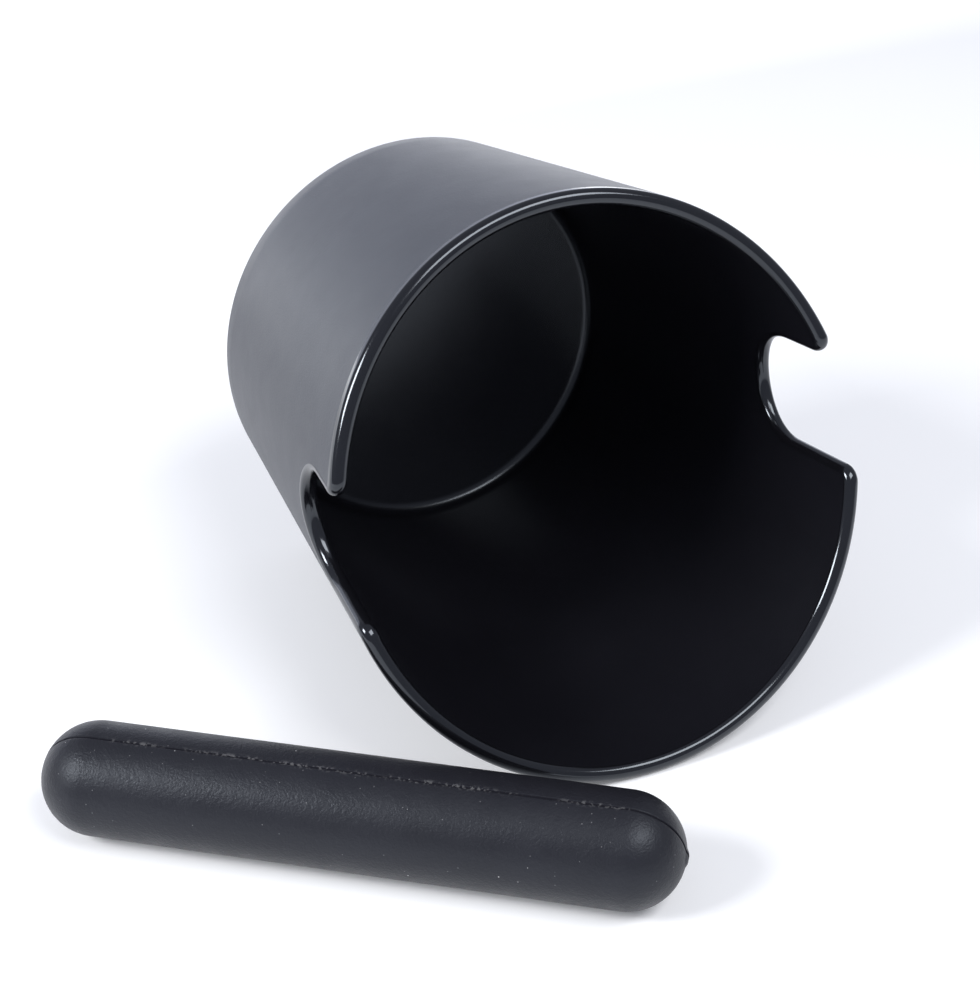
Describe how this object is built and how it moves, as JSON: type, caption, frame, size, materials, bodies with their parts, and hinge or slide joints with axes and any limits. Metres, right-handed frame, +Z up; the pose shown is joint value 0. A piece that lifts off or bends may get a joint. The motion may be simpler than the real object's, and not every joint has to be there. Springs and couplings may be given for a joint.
{
  "type": "espresso knock box",
  "caption": "Tapered moulded knock box with a slanted mouth and side slots, lying on its side beside its loose rubber-covered knock bar.",
  "frame": {"origin": "on the surface the object lies on, under the middle of its overall box", "axes": "+Z up from the surface; -Y the way the mouth of the lying bucket faces; +X across, along the line through the slots to within the bucket's small roll"},
  "size_m": [0.1656, 0.1586, 0.1064],
  "materials": {
    "bucket_plastic": "satin moulded outside, smoother inside and on the rim",
    "foot_rubber": "matte",
    "bar_rubber": "matte moulded, fine grain",
    "core_steel": "turned"
  },
  "bodies": {
    "box": {"bucket": "bucket_plastic", "foot_ring": "foot_rubber"},
    "knock_bar": {"bar_sleeve": "bar_rubber", "bar_core": "core_steel"}
  },
  "joints": [
    {"name": "knock_bar_lift", "type": "hinge", "parent": "box", "child": "knock_bar", "pos_m": [0.00621, 0.05141, 0.02698], "axis": [-0.5999, 0.1144, 0.7918], "range_deg": [0, 45.24]}
  ]
}
